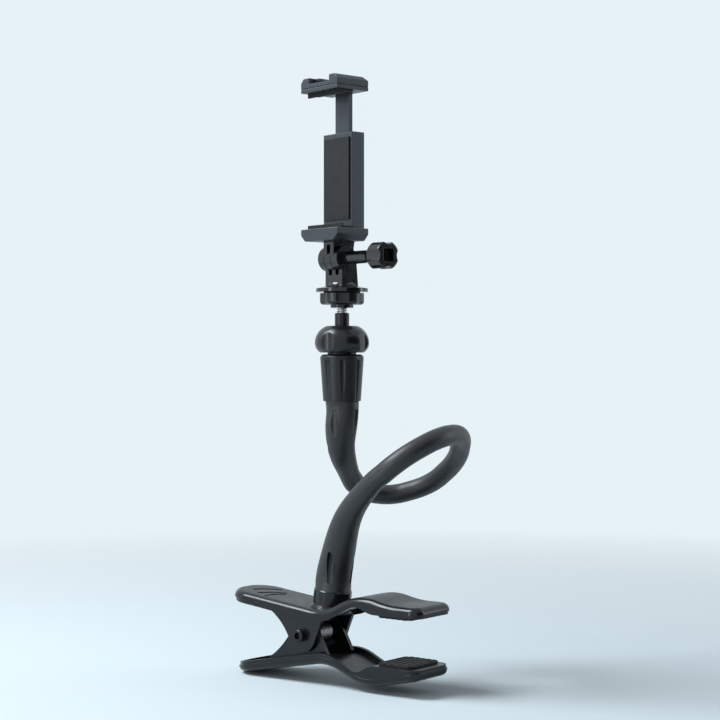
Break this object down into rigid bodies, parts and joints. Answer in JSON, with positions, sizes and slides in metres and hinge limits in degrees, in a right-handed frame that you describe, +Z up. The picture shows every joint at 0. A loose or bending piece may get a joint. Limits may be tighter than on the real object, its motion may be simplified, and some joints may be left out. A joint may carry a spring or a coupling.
{
  "type": "gooseneck phone holder",
  "caption": "Gooseneck phone holder: a spring clip for a table edge, a looped bendable neck, a ball head with a lock knob, a pronged hinge and a sprung phone clamp with an accessory shoe.",
  "frame": {"origin": "middle of the upper clip jaw's gripping face, which rests on the table's top", "axes": "+X along the clip towards its jaws' tips, +Z up along the head's axis, +Y away from the phone's front"},
  "size_m": [0.1497, 0.0915, 0.3557],
  "materials": {
    "clip_plastic": "satin black moulded plastic with a glossy rim",
    "black_plastic": "satin black moulded plastic",
    "gloss_black": "glossy black moulded plastic",
    "sleeve_rubber": "matte black rubbery sleeve",
    "pad_rubber": "matte black rubber",
    "clamp_metal": "dark grey anodised, fine blasted grain",
    "steel": "bright plated steel",
    "black_steel": "blackened steel",
    "brass": "plain turned brass",
    "liner": "dark slippery plastic"
  },
  "bodies": {
    "base": {"upper_arm": "clip_plastic", "upper_grip_pad": "pad_rubber", "pivot_bolt": "black_steel", "pivot_nut": "black_steel", "spring_spool": "black_plastic", "torsion_spring": "steel", "base_screw": "steel", "base_fitting": "steel", "gooseneck_core": "steel", "gooseneck_sleeve": "sleeve_rubber", "top_fitting": "steel", "top_ferrule": "black_plastic", "ball_housing": "black_steel"},
    "lower_clip": {"lower_arm": "clip_plastic", "lower_grip_pad": "pad_rubber"},
    "ball_pan": {"ball_cup": "liner"},
    "ball_tilt": {"ball_stem": "gloss_black", "threaded_stud": "steel"},
    "lock_knob": {"ball_lock_knob": "black_plastic"},
    "lock_nut": {"lock_nut": "black_plastic"},
    "adapter": {"three_prong_adapter": "gloss_black", "adapter_insert": "brass", "hinge_nut": "steel", "rubber_washer": "pad_rubber"},
    "thumbscrew": {"hinge_screw": "steel", "thumb_knob": "gloss_black"},
    "fork": {"two_prong_adapter": "gloss_black", "clamp_screw": "steel"},
    "clamp": {"lower_jaw": "clamp_metal", "lower_jaw_pad": "pad_rubber", "clamp_housing": "clamp_metal", "housing_cover": "clamp_metal", "cover_screws": "black_steel", "housing_screws": "black_steel", "guide_rods": "steel", "jaw_springs": "steel", "spine_pad": "pad_rubber"},
    "sliding_jaw": {"slide_blade": "clamp_metal", "upper_jaw": "clamp_metal", "upper_jaw_pad": "pad_rubber", "shoe_block": "clamp_metal", "shoe_screws": "black_steel"}
  },
  "joints": [
    {"name": "clip_hinge", "type": "hinge", "parent": "base", "child": "lower_clip", "pos_m": [-0.067, 0, -0.0156], "axis": [0, 1, 0], "range_deg": [-18.5, 20], "stiffness_Nm_per_rad": 1.3, "deforming": ["torsion_spring"]},
    {"name": "ball_pan", "type": "hinge", "parent": "base", "child": "ball_pan", "pos_m": [-0.0455, -0.004, 0.1602], "axis": [0, 0, 1], "continuous": true},
    {"name": "ball_tilt", "type": "hinge", "parent": "ball_pan", "child": "ball_tilt", "pos_m": [-0.0455, -0.004, 0.1602], "axis": [0, 1, 0], "range_deg": [-24, 24]},
    {"name": "knob_turn", "type": "hinge", "parent": "base", "child": "lock_knob", "pos_m": [-0.0455, -0.004, 0.159], "axis": [0, 0, 1], "range_deg": [-270, 30]},
    {"name": "lock_nut_turn", "type": "hinge", "parent": "ball_tilt", "child": "lock_nut", "pos_m": [-0.0455, -0.004, 0.182], "axis": [0, 0, 1], "continuous": true},
    {"name": "adapter_swivel", "type": "hinge", "parent": "ball_tilt", "child": "adapter", "pos_m": [-0.0455, -0.004, 0.1887], "axis": [0, 0, 1], "continuous": true},
    {"name": "thumbscrew_turn", "type": "hinge", "parent": "adapter", "child": "thumbscrew", "pos_m": [-0.0461, -0.00694, 0.2065], "axis": [0.9799, -0.1994, 0], "continuous": true},
    {"name": "hinge_tilt", "type": "hinge", "parent": "adapter", "child": "fork", "pos_m": [-0.0461, -0.00694, 0.2065], "axis": [0.9799, -0.1994, 0], "range_deg": [-70, 70]},
    {"name": "clamp_swivel", "type": "hinge", "parent": "fork", "child": "clamp", "pos_m": [-0.0461, -0.00694, 0.2165], "axis": [0, 0, 1], "continuous": true},
    {"name": "jaw_slide", "type": "slide", "parent": "clamp", "child": "sliding_jaw", "axis": [0, 0, 1], "range_m": [-0.02, 0.01], "stiffness_N_per_m": 250, "deforming": ["jaw_springs"]}
  ]
}
